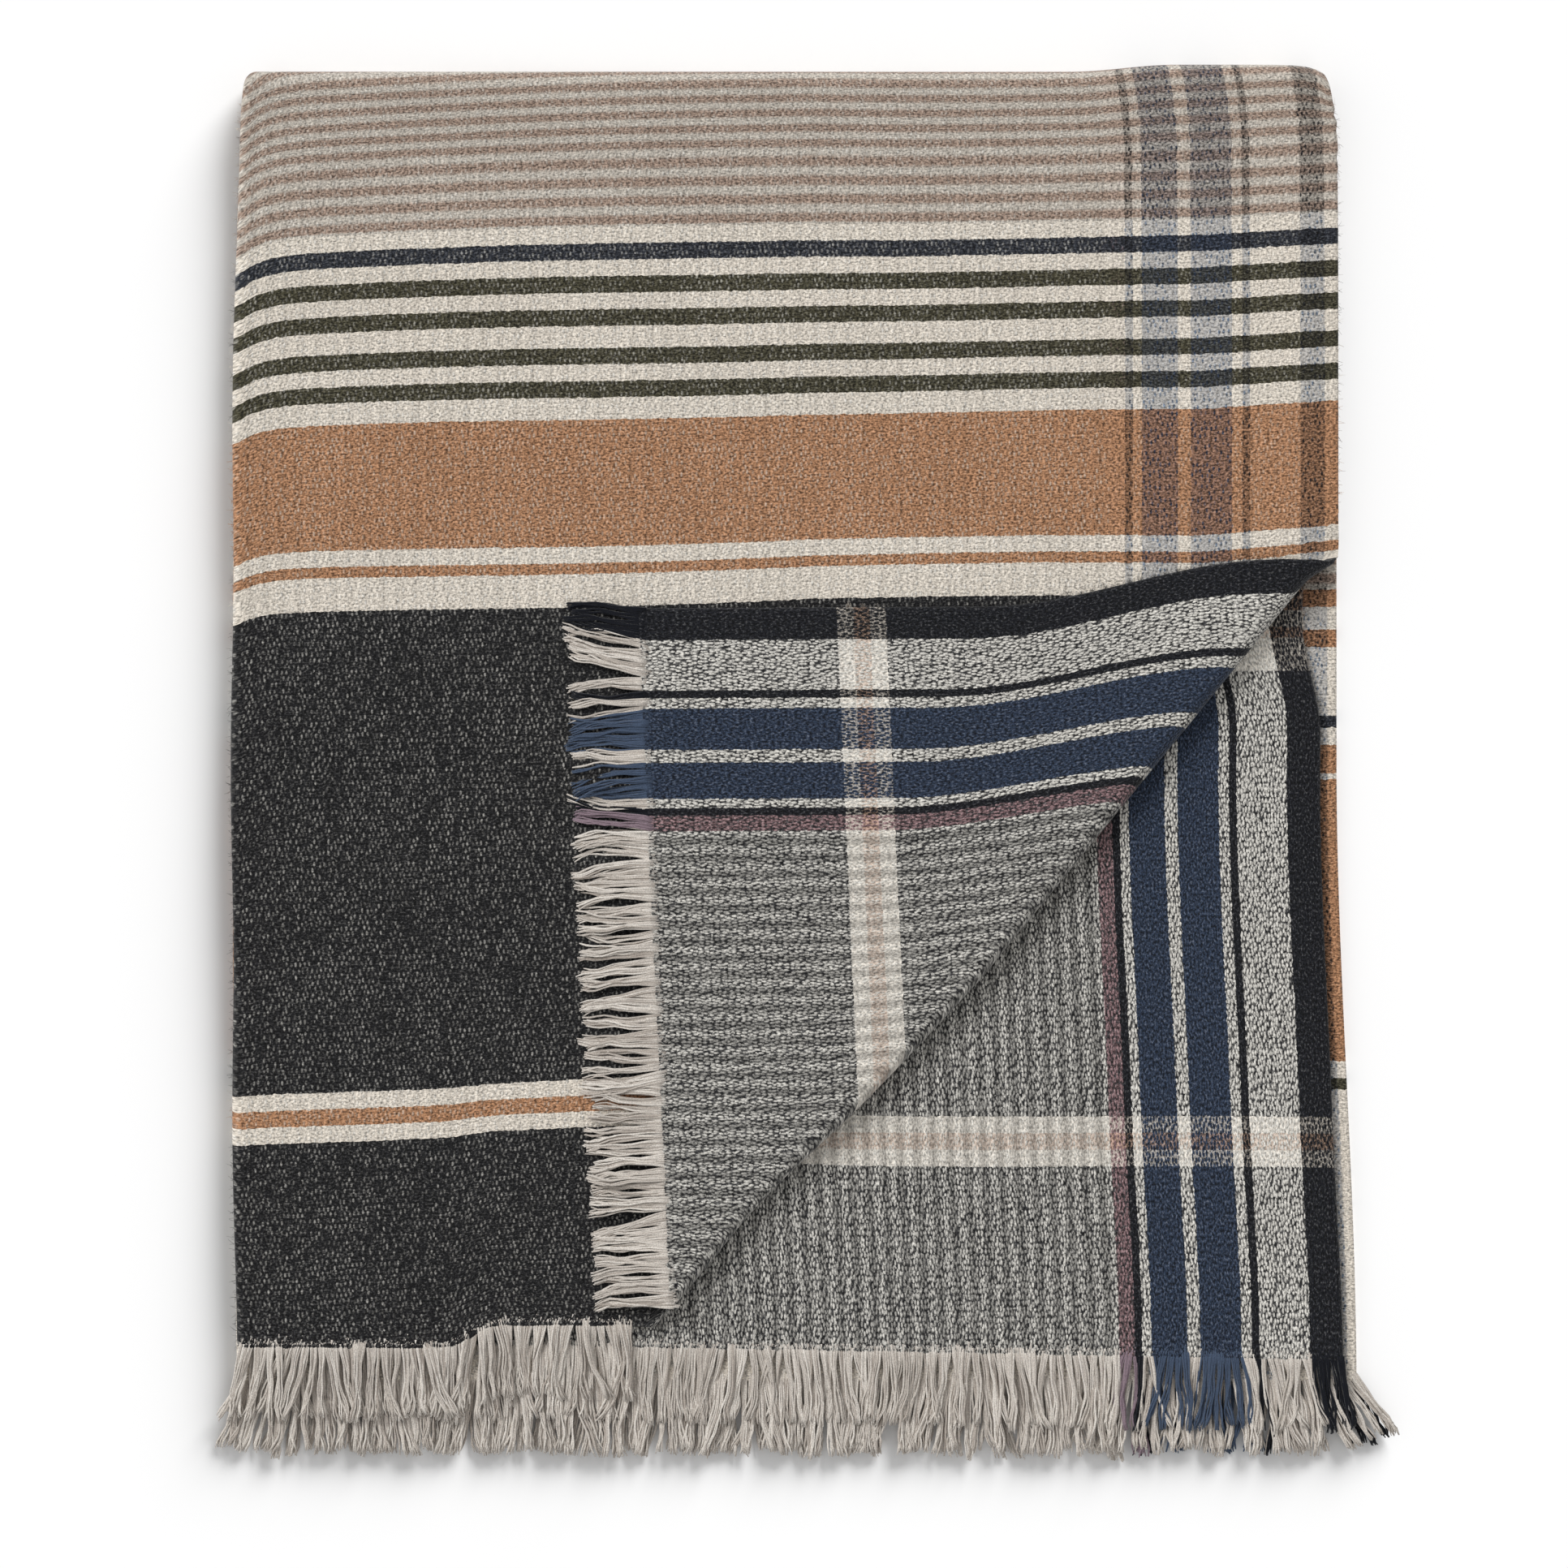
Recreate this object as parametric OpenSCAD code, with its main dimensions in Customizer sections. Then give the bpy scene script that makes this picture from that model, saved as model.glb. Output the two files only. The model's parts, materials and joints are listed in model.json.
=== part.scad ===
// A brushed wool throw folded in quarters, with one corner of its top layer turned back.
// It lies flat: X runs from the folded side to the selvages, Y from the fringes to the top fold.
// The origin is on the surface it lies on, under the middle of the folded throw.

/* [Cloth] */
// Thickness of one lofty layer of the brushed cloth
cloth_t = 4.6; // [3:0.1:6]
// Air left between two layers that lie on each other
layer_gap = 0.4; // [0.3:0.1:1]

/* [Fringe] */
// Length of the loose warp ends at both ends of the cloth
fringe_l = 42; // [20:1:60]
// Thickness of a row of fringe as it lies
fringe_t = 3.4; // [1:0.1:3.5]
// Spacing of the bundles that the loose ends hang in
bundle_pitch = 8; // [6:0.5:12]
// Width of one bundle
bundle_w = 5.4; // [3:0.1:5.5]
// Length of the part of the row where the bundles still hold together
bundle_root = 2; // [1:0.5:5]

/* [Folds] */
// Width of the folded throw, from the side folds to the lower half's selvages
folded_w = 648; // [560:1:800]
// Length of the folded throw, from the top fold to the lowest fringe tips
folded_l = 796; // [740:1:1000]
// How far the lower half's selvages show past the upper half's
selvage_step = 11; // [0:1:30]
// How much sooner the second layer from the top ends than the two layers below it
inner_step = 16; // [0:1:40]
// How much sooner the top layer ends than the two lowest layers
top_step = 28; // [0:1:40]
// Clearance between the two parts of a fold that turn on each other
split = 0.3; // [0.3:0.05:0.6]

/* [Turned-back corner] */
// X of the middle of the crease
crease_x = 116.5; // [80:0.5:150]
// Y of the middle of the crease
crease_y = -104.5; // [-140:0.5:-80]
// Angle of the crease from the X axis
crease_angle = 48.5; // [42:0.5:50]
// Length of the corner's two outer sides, along the selvage and along the fringe
corner_leg = 398; // [300:1:410]
// Outer radius of the crease, which is looser than the pressed folds
crease_r = 7.3; // [5:0.1:9]

/* [Hidden] */
$fn = 64;
pitch = cloth_t + layer_gap;
half_gap = layer_gap / 2;
// Outer radius of a fold between two neighbouring layers
fold_r = cloth_t + half_gap;
// Outer radius of the top fold's outer turn, which is also the height of the stack's middle
top_r = 2 * pitch - half_gap;
mid_z = top_r;
x_fold = fold_r - folded_w / 2;
y_fold = folded_l / 2 - top_r;
low_end = fringe_l - folded_l / 2;
// Height of the middle of the corner's crease, and of the underside of the part that is turned back
crease_z = 3 * pitch + crease_r;
flap_z = crease_z + crease_r - cloth_t;
half_crease = corner_leg / sqrt(2);
// A length that reaches past the whole throw, for cutting tools
reach = folded_w + folded_l;

BOTTOM = 0;
LOWER_INNER = 1;
UPPER_INNER = 2;
TOP = 3;

banded_face = [0.24, 0.24, 0.25];
striped_face = [0.47, 0.47, 0.46];
cream_face = [0.80, 0.76, 0.69];
taupe_face = [0.62, 0.57, 0.52];
yarn = [0.78, 0.74, 0.69];

function layer_z(layer) = layer * pitch;

function layer_end(layer) =
    low_end + (layer == TOP ? top_step : layer == UPPER_INNER ? inner_step : 0);

function layer_side(layer) = folded_w / 2 - (layer >= UPPER_INNER ? selvage_step : 0);

// X where the crease's outer line crosses a given Y
function crease_at(y) = crease_x + (y - crease_y) / tan(crease_angle);

// Places its children in the crease's own frame: X along it, Y towards the turned-back corner
module along_crease() {
    translate([crease_x, crease_y, 0])
        rotate([0, 0, crease_angle])
            children();
}

// One whole layer between the folds, the selvage and the fringe
module layer_panel(layer) {
    translate([x_fold, layer_end(layer), layer_z(layer)])
        cube([layer_side(layer) - x_fold, y_fold - layer_end(layer), cloth_t]);
}

// A row of bundles along +X that hang towards -Y
module fringe_row(row_l) {
    linear_extrude(fringe_t) {
        translate([0, -bundle_root])
            square([row_l, bundle_root]);
        for (k = [0 : floor(row_l / bundle_pitch) - 1])
            translate([k * bundle_pitch + (bundle_pitch - bundle_w) / 2, -fringe_l])
                square([bundle_w, fringe_l]);
    }
}

module layer_fringe(layer, row_l) {
    translate([x_fold, layer_end(layer), layer_z(layer)])
        fringe_row(row_l);
}

// Section of a fold, as a flat ring
module ring(outer, inner) {
    difference() {
        circle(outer);
        circle(inner);
    }
}

// A quarter of a ring, right of its centre, above it (side = 1) or below it (side = -1)
module quarter_ring(outer, inner, side) {
    intersection() {
        ring(outer, inner);
        translate([0, side > 0 ? split / 2 : -outer - split / 2])
            square(outer);
    }
}

// One half of a turn of the top fold, above or below the middle of the stack
module top_turn(outer, inner, side, right) {
    translate([x_fold, y_fold, mid_z])
        rotate([90, 0, 90])
            linear_extrude(right - x_fold)
                quarter_ring(outer, inner, side);
}

// The fold along the left side that joins a layer to the one above it.
// At the top fold it goes on round the corner with the layers it joins.
module side_fold(layer) {
    side = layer == BOTTOM ? -1 : 1;
    fold_end = max(layer_end(layer), layer_end(layer + 1));
    translate([x_fold, y_fold, layer_z(layer + 1) - half_gap])
        rotate([90, 0, 0])
            linear_extrude(y_fold - fold_end)
                intersection() {
                    ring(fold_r, half_gap);
                    translate([-fold_r, -fold_r])
                        square([fold_r, 2 * fold_r]);
                }
    difference() {
        translate([x_fold, y_fold, mid_z])
            rotate([90, 0, 90])
                rotate([0, 0, side > 0 ? 0 : -90])
                    rotate_extrude(angle = 90)
                        translate([pitch, 0])
                            intersection() {
                                ring(fold_r, half_gap);
                                translate([-fold_r, -fold_r])
                                    square([2 * fold_r, fold_r]);
                            }
        translate([x_fold - 2 * fold_r, y_fold, mid_z - split / 2])
            cube([3 * fold_r, 2 * top_r, split]);
    }
}

// One half of the crease's turn, over (side = 1) or under (side = -1) its middle
module crease_turn(side) {
    along_crease()
        translate([-half_crease, crease_r, crease_z])
            rotate([90, 0, 90])
                linear_extrude(2 * half_crease)
                    mirror([1, 0])
                        quarter_ring(crease_r, crease_r - cloth_t, side);
}

module bottom_panel() {
    color(cream_face)
        layer_panel(BOTTOM);
}

module bottom_fringe() {
    color(yarn)
        layer_fringe(BOTTOM, layer_side(BOTTOM) - x_fold);
}

module lower_inner_panel() {
    color(cream_face)
        layer_panel(LOWER_INNER);
}

module lower_inner_fringe() {
    color(yarn)
        layer_fringe(LOWER_INNER, layer_side(LOWER_INNER) - x_fold);
}

module lower_side_fold() {
    color(cream_face)
        side_fold(BOTTOM);
}

module top_fold_outer_lower() {
    color(taupe_face)
        top_turn(top_r, top_r - cloth_t, -1, layer_side(BOTTOM));
}

module top_fold_inner_lower() {
    color(striped_face)
        top_turn(fold_r, half_gap, -1, layer_side(LOWER_INNER));
}

module upper_inner_panel() {
    color(striped_face)
        layer_panel(UPPER_INNER);
}

module upper_inner_fringe() {
    color(yarn)
        layer_fringe(UPPER_INNER, layer_side(UPPER_INNER) - x_fold);
}

// The top layer, without the corner that is turned back
module top_panel() {
    color(banded_face)
        intersection() {
            layer_panel(TOP);
            along_crease()
                translate([-reach, crease_r, 0])
                    cube([2 * reach, reach, 2 * crease_z]);
        }
}

module top_fringe() {
    color(yarn)
        layer_fringe(TOP, crease_at(layer_end(TOP)) - crease_r / sin(crease_angle) - x_fold);
}

module upper_side_fold() {
    color(banded_face)
        side_fold(UPPER_INNER);
}

module top_fold_outer_upper() {
    color(taupe_face)
        top_turn(top_r, top_r - cloth_t, 1, layer_side(TOP));
}

module top_fold_inner_upper() {
    color(striped_face)
        top_turn(fold_r, half_gap, 1, layer_side(UPPER_INNER));
}

module crease_under() {
    color(banded_face)
        crease_turn(-1);
}

module crease_over() {
    color(striped_face)
        crease_turn(1);
}

module corner_flap() {
    color(striped_face)
        along_crease()
            translate([0, crease_r, flap_z])
                linear_extrude(cloth_t)
                    polygon([[-half_crease, 0], [half_crease, 0], [0, half_crease]]);
}

module corner_fringe() {
    color(yarn)
        along_crease()
            translate([0, crease_r + half_crease, flap_z])
                rotate([0, 0, -135])
                    fringe_row(corner_leg);
}

bottom_panel();
bottom_fringe();
lower_inner_panel();
lower_inner_fringe();
lower_side_fold();
top_fold_outer_lower();
top_fold_inner_lower();
upper_inner_panel();
upper_inner_fringe();
top_panel();
top_fringe();
upper_side_fold();
top_fold_outer_upper();
top_fold_inner_upper();
crease_under();
crease_over();
corner_flap();
corner_fringe();
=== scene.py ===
import json
import math

import bmesh
import bpy
import numpy as np
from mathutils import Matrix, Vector


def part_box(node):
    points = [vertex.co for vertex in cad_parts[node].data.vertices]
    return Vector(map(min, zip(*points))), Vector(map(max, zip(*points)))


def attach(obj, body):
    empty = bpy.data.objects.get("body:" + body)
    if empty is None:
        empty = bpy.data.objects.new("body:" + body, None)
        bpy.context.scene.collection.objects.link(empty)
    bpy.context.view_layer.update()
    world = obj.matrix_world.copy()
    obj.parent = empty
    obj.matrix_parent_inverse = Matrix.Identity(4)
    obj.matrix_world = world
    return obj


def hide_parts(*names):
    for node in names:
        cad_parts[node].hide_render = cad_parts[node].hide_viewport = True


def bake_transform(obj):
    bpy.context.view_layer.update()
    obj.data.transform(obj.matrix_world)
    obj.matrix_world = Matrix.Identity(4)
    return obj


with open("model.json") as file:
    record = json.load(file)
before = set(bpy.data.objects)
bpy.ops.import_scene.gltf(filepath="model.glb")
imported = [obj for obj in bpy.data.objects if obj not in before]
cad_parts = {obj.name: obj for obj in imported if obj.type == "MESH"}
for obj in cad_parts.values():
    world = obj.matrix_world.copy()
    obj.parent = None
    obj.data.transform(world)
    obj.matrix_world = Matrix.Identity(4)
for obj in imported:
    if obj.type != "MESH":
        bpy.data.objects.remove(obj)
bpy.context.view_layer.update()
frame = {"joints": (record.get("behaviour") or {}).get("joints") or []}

MM = 0.001
UP = np.array([0.0, 0.0, 1.0])

# The folded web, as the frame gives it. Its mid-surface lies half a cloth's thickness inside each solid.
PANEL_LOW, PANEL_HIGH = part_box("bottom_panel")
CLOTH = PANEL_HIGH[2] - PANEL_LOW[2]
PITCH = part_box("lower_inner_panel")[0][2] - PANEL_LOW[2]
X_FOLD = PANEL_LOW[0]
Y_FOLD = PANEL_HIGH[1]
MID_Z = 2 * PITCH - (PITCH - CLOTH) / 2
SELVAGE_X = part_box("top_panel")[1][0]
TURN_R = PITCH / 2
ROLL_R = 1.5 * PITCH
SIDE_ARC = TURN_R * math.pi / 2
ROLL_ARC = ROLL_R * math.pi / 2
FRINGE_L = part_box("bottom_fringe")[1][1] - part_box("bottom_fringe")[0][1]

# Where the pieces meet: flat margins that the folds keep beyond their turns.
SIDE_MARGIN = 12 * MM
TOP_MARGIN = 8 * MM
CREASE_MARGIN = 12 * MM
S_JOIN = SIDE_ARC + SIDE_MARGIN
W_JOIN = ROLL_ARC + TOP_MARGIN

# Ends of the layers, as Y at the fringe's root.
UPPER_END = -330 * MM
LOWER_END = PANEL_LOW[1]

# The selvages' outline.
DRAWN_IN = 6.5 * MM
DRAWN_IN_REACH = 25 * MM
RIPPLE = 2.2 * MM
RIPPLE_PITCH = 10.6 * MM
RIPPLE_DOWN = 36 * MM
RIPPLE_REACH = 17 * MM
LOWER_SPREAD = 11.5 * MM
WAIST = 10 * MM
PULL = 13 * MM

# How far the ends of the two upper layers sag, and how far the top one rises again beside its corner.
TOP_SAG = 6.5 * MM
TOP_RISE = 13 * MM
INNER_SAG = 8.5 * MM

# How soft the folds are.
LOFT = 3 * MM
LOFT_REACH = 32 * MM
CREASE_LIFT_REACH = 55 * MM
EDGE_ROUND = 2.2 * MM

# How fine the cloth's grids are.
CELL = 4.5 * MM
COLUMNS = 140

RIM_ANGLE = math.radians(50)
SAME_POINT = 1e-6
RNG = np.random.default_rng(20)


def smooth(t):
    """0 below 0, 1 above 1, with a soft start and stop between them."""
    t = np.clip(t, 0, 1)
    return t * t * (3 - 2 * t)


def hump(at, middle, width):
    """1 at the middle, falling off on both sides of it."""
    return np.exp(-((at - middle) / width) ** 2)


def fade(distance, length):
    """1 at no distance, falling off along the length."""
    return np.exp(-np.maximum(distance, 0) / length)


# -------- shape of the folded web

def selvage(y, lower):
    """X of the selvages at a given Y: drawn in and rippled at the top fold. The lower ones spread below."""
    top = Y_FOLD + ROLL_R - y
    x = SELVAGE_X + 0.5 * MM - DRAWN_IN * fade(top, DRAWN_IN_REACH)
    scallop = np.abs(np.sin(math.pi * y / RIPPLE_PITCH)) - 0.4
    x = x + RIPPLE * hump(top, RIPPLE_DOWN, RIPPLE_REACH) * scallop
    if lower:
        return x + LOWER_SPREAD * smooth(-y / (360 * MM))
    return x


def inner_selvage(y):
    """X of the upper inner layer's selvage, which shows beside the turned-back corner."""
    waist = WAIST * hump(y, -5 * MM, 170 * MM)
    pull = PULL * smooth((y - 20 * MM) / (70 * MM)) * smooth((300 * MM - y) / (150 * MM))
    return selvage(y, False) - waist - pull + 3.5 * MM * smooth((-y - 0.2) / 0.13)


def straight_end(x, share):
    return 0 * x


def top_end_shift(x, share):
    """The top layer's end hangs lower on the folded side than towards the turned-back corner."""
    return share ** 9 * TOP_RISE * smooth((x + 204 * MM) / (34 * MM)) - share ** 2 * TOP_SAG


def inner_end_shift(x, share):
    return share ** 2 * (-INNER_SAG - 0.018 * x)


def web(s, w, end_y, outer_shift, inner_shift):
    """Mid-surface and outward normal of the folded web.

    s runs across the web from the side fold's nose, over the outer layers when positive and the inner ones
    when negative. w runs along it from the top fold's nose, over the upper half when positive.
    """
    lean = np.clip(s / TURN_R, -math.pi / 2, math.pi / 2)
    turn = np.clip(w / ROLL_R, -math.pi / 2, math.pi / 2)
    run = np.maximum(np.abs(w) - ROLL_ARC, 0)
    off = PITCH + TURN_R * np.sin(lean)
    x = X_FOLD - TURN_R * np.cos(lean) + np.maximum(np.abs(s) - SIDE_ARC, 0)
    full = Y_FOLD - end_y - TOP_MARGIN
    share = np.clip((run - TOP_MARGIN) / full, 0, 1)
    outer = (1 + np.sin(lean)) / 2
    y = Y_FOLD + off * np.cos(turn) - run
    y = y + inner_shift(x, share) * (1 - outer) + outer_shift(x, share) * outer
    lift = LOFT * hump(run, 0, LOFT_REACH) * np.maximum(np.sin(turn), 0)
    z = MID_Z + off * np.sin(turn) + lift
    normal = np.stack([-np.cos(lean), np.sin(lean) * np.cos(turn), np.sin(lean) * np.sin(turn)], axis=-1)
    return np.stack([x, y, z], axis=-1), normal


def settle(points):
    """Lets the stack lie softly: low hills that all layers share, and an outline that isn't ruled."""
    x, y, z = points[..., 0], points[..., 1], points[..., 2]
    hills = (0.5 * np.sin(x * 11.3 + 0.7) * np.cos(y * 8.1 - 0.4) + 0.3 * np.sin(x * 21.7 - y * 13.9 + 1.9)
             + 0.2 * np.sin(y * 33.1 + x * 7.3 + 0.2))
    new_z = z * (1 + 0.05 * hills)
    left = np.clip(x / X_FOLD, 0, 1)
    top = Y_FOLD + ROLL_R - y
    x = x + left * (5.5 * MM * fade(top, 38 * MM) + 2.2 * MM * (y / UPPER_END) ** 2)
    x = x + left * 0.7 * MM * np.sin(y * 29 + z * 310)
    rise = 2.1 * MM + 4 * MM * smooth((x - 160 * MM) / (60 * MM))
    round_off = 6.5 * MM * fade(SELVAGE_X - 6 * MM - x, 7 * MM)
    y = y + rise * smooth((y - 340 * MM) / (45 * MM)) - round_off * smooth((y - 360 * MM) / (30 * MM))
    return np.stack([x, y, new_z], axis=-1)


# -------- the crease of the turned-back corner

def joint(name):
    return next(j for j in frame["joints"] if j["name"] == name)


CREASE = joint("corner_fold")
CREASE_AT = np.array(CREASE["pos_m"][:2])
CREASE_ALONG = np.array(CREASE["axis"][:2]) / np.linalg.norm(CREASE["axis"][:2])
CREASE_OUT = np.array([-CREASE_ALONG[1], CREASE_ALONG[0]])
TOP_MID_Z = MID_Z + ROLL_R
FLAP_MID_Z = TOP_MID_Z + PITCH
CREASE_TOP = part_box("crease_over")[1][2]
CREASE_R = (CREASE_TOP - CLOTH / 2 - TOP_MID_Z) / 2
# The crease's visible edge swells by the fringe and dips by the selvage.
NOSE_SWELL = 5 * MM
NOSE_DIP = 9 * MM
LEAN_REACH = 90 * MM


def crease_nose(a):
    """How far the crease's visible edge stands from the hinge line, a along that line."""
    swell = NOSE_SWELL * hump(a, -0.2, 0.06)
    dip = NOSE_DIP * smooth((a - 0.272) / 0.035)
    return -5.9 * MM - 0.0262 * a + 0.065 * np.maximum(a + 0.02, 0) + swell - dip


def crease_middle(a):
    return crease_nose(a) + CREASE_R + CLOTH / 2


def raised(plan, z):
    """Points in plan, each at its height."""
    return np.concatenate([plan, z[..., None]], axis=-1)


def from_crease(a, b):
    """A point in plan from its place along the crease and out from it."""
    a, b = np.broadcast_arrays(a, b)
    return CREASE_AT + a[..., None] * CREASE_ALONG + b[..., None] * CREASE_OUT


def to_crease(points):
    rel = points[..., :2] - CREASE_AT
    return rel @ CREASE_ALONG, rel @ CREASE_OUT


# Finely spaced places along the crease, in which others are looked up.
SCAN_A = np.arange(-0.36, 0.36, 0.0005)
SCAN_EDGE = from_crease(SCAN_A, crease_middle(SCAN_A) + CREASE_MARGIN)
A_HIGH = float(SCAN_A[np.argmax(SCAN_EDGE[:, 0] > selvage(SCAN_EDGE[:, 1], False))])


def crease_place(y):
    """Place along the crease where the top layer's cut line crosses a given Y."""
    return np.interp(y, SCAN_EDGE[:, 1], SCAN_A)


# The turned-back corner, from its outer tip: v along the selvage, u down the fringe's root.
TIP = np.array([-90.5 * MM, 90 * MM])
SELVAGE_TILT = math.radians(0.3)
ROOT_TILT = math.radians(2.5)
ALONG_SELVAGE = np.array([math.cos(SELVAGE_TILT), math.sin(SELVAGE_TILT)])
ALONG_ROOT = np.array([math.sin(ROOT_TILT), -math.cos(ROOT_TILT)])
TURNED_SIDE = 380 * MM
CORNER_BEND = 26 * MM
BEND_START = 200 * MM
BEND_REACH = 165 * MM
# The corner's sides lie at about 45 degrees to the lines out from its crease.
SLANT = 0.7


def corner_bend(u, v):
    """The cloth climbs as it nears the crease, most along the selvage."""
    start = BEND_START - 0.5 * u
    return CORNER_BEND * np.clip(1 - u / 0.4, 0, 1) * smooth((v - start) / BEND_REACH)


def corner_plan(u, v):
    u, v = np.broadcast_arrays(u, v)
    plan = TIP + v[..., None] * ALONG_SELVAGE + u[..., None] * ALONG_ROOT
    plan[..., 1] += corner_bend(u, v)
    return plan


def corner_cloth_place(points):
    """Where points of the turned-back corner are in the cloth, from the selvage and the fringe's root.

    The cloth's climb depends on the place itself, so the place is found in a few rounds.
    """
    frame_2d = np.linalg.inv(np.stack([ALONG_SELVAGE, ALONG_ROOT], axis=1))
    rel = points[..., :2] - TIP
    u = np.zeros(rel.shape[:-1])
    v = np.zeros(rel.shape[:-1])
    for _ in range(8):
        flat = rel.copy()
        flat[..., 1] -= corner_bend(u, v)
        solved = flat @ frame_2d.T
        v, u = solved[..., 0], solved[..., 1]
    return u, v


SCAN_L = np.arange(-0.02, 0.46, 0.001)
SELVAGE_A, SELVAGE_B = to_crease(corner_plan(0 * SCAN_L, SCAN_L))
ROOT_A, ROOT_B = to_crease(corner_plan(SCAN_L, 0 * SCAN_L))
TIP_A = float(to_crease(TIP)[0])


def corner_edge(a):
    """How far the turned-back corner reaches from the hinge line."""
    by_root = np.interp(a, ROOT_A[::-1], ROOT_B[::-1])
    by_selvage = np.interp(a, SELVAGE_A, SELVAGE_B)
    return np.where(a < TIP_A, by_root, by_selvage)


# -------- places in the cloth

TOP_ROOT_V = 718 * MM
UPPER_SLIP = 41 * MM
UPPER_BACK = 21 * MM
LOWER_SLIP = 2 * MM
GATHERED = 45 * MM
# How far the bands drop by the side fold, waver and gather.
BAND_DROP = 16.5 * MM
BAND_WAVE = 1.2 * MM
GATHERING = 0.33
DRIFT_FADE = 300 * MM


def band_drift(x, w):
    """How far the bands of the outer layers lie below a straight line across the throw."""
    drop = (BAND_DROP - 0.025 * w) * fade(x - (X_FOLD - TURN_R - CLOTH / 2), 11 * MM)
    middle = 10 * MM
    slope = 0.03 * np.maximum(middle - x, 0) - 0.004 * np.maximum(x - middle, 0)
    rise = (0.03 + 0.22 * w) * np.maximum(x - 0.234, 0)
    wave = BAND_WAVE * np.sin(x * 14 + w * 9)
    return drop + slope - rise + wave


def outer_v(x, w):
    """Place along the web of the outer layers. The bands lie closer together just over the top fold."""
    v = w - band_drift(x, np.maximum(w, 0)) * (1 - smooth(-w / DRIFT_FADE))
    return v - GATHERING * np.clip(GATHERED - v, 0, GATHERED) * (1 - smooth(-v / DRIFT_FADE))


def outer_place(points, w, lower):
    """Distance from the selvage and signed distance from the top fold, for the bottom and the top layer."""
    x, y = points[..., 0], points[..., 1]
    return np.stack([selvage(y, lower) - x - 3.5 * MM, outer_v(x, w)], axis=-1)


def inner_place(points, w, lower):
    """The same for the two inner layers, which have slipped a little in the fold."""
    x, y = points[..., 0], points[..., 1]
    edge = selvage(y, True) if lower else inner_selvage(y)
    slip = UPPER_SLIP * smooth(w / 0.3) - UPPER_BACK * smooth((w - 0.34) / 0.22)
    slip = slip - LOWER_SLIP * smooth(-w / 0.3) + BAND_WAVE * np.sin(x * 13 + 1)
    by_fold = outer_v(x, w)
    share = smooth((x - X_FOLD) / 0.35)
    return np.stack([edge - x - 1 * MM, by_fold + (w - slip - by_fold) * share], axis=-1)


def web_place(points, s, w):
    """Places in the cloth for a piece that crosses the side fold."""
    lower = (w < 0)[..., None]
    outer = np.where(lower, outer_place(points, w, True), outer_place(points, w, False))
    inner = np.where(lower, inner_place(points, w, True), inner_place(points, w, False))
    share = smooth(s / S_JOIN + 1)[..., None]
    return inner + (outer - inner) * share


# -------- meshes

NEAR_EDGE = np.array([1.7, 1.0, 0.45, 0.12, 0]) * MM


def spaced(start, stop, step):
    """Values from start to stop, closer together at the stop, which gets a rounded edge."""
    inner = stop - EDGE_ROUND
    count = max(int(round((inner - start) / step)), 1)
    return np.concatenate([np.linspace(start, inner, count + 1), stop - NEAR_EDGE])


def spaced_rows(starts, stops, count):
    """The same for many rows at once, with as many steps in each."""
    room = stops - starts
    near = np.minimum(EDGE_ROUND, room / 2)[:, None]
    share = np.linspace(0, 1, count + 1)
    inner = starts[:, None] + (room[:, None] - near) * share
    return np.concatenate([inner, stops[:, None] - NEAR_EDGE * near / EDGE_ROUND], axis=1)


def edge_half(distance):
    """Half the cloth's thickness at a distance from a real edge, which is rounded."""
    depth = np.clip(distance / EDGE_ROUND, 0, 1)
    return CLOTH / 2 * np.sqrt(np.maximum(1 - (1 - depth) ** 2, 0))


def grid_faces(near, far):
    """Four-sided faces between rows of vertex numbers, each with the next number in its row."""
    return np.stack([near[..., 0], near[..., 1], far[..., 1], far[..., 0]], axis=-1).reshape(-1, 4)


def add_piece(name, verts, faces, place, materials, which):
    """An object with the place in the cloth as its UVs. which says which material each face has."""
    mesh = bpy.data.meshes.new(name)
    mesh.from_pydata(verts.reshape(-1, 3).tolist(), [], faces)
    loops = np.zeros(len(mesh.loops), np.int32)
    mesh.loops.foreach_get("vertex_index", loops)
    layer = mesh.uv_layers.new(name="cloth")
    layer.data.foreach_set("uv", place.reshape(-1, 2)[loops].astype(np.float32).ravel())
    for material in materials:
        mesh.materials.append(material)
    mesh.polygons.foreach_set("material_index", which.astype(np.int32))
    mesh.polygons.foreach_set("use_smooth", np.ones(len(mesh.polygons), bool))
    piece = bpy.data.objects.new(name, mesh)
    bpy.context.scene.collection.objects.link(piece)
    return piece


def close_up(mesh):
    """Joins points that meet, turns every face outwards and keeps the rims crisp."""
    clean = bmesh.new()
    clean.from_mesh(mesh)
    bmesh.ops.remove_doubles(clean, verts=clean.verts, dist=SAME_POINT)
    bmesh.ops.dissolve_degenerate(clean, edges=clean.edges, dist=SAME_POINT)
    bmesh.ops.recalc_face_normals(clean, faces=clean.faces)
    for edge in clean.edges:
        edge.smooth = edge.calc_face_angle(0) < RIM_ANGLE
    clean.to_mesh(mesh)
    clean.free()


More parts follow.
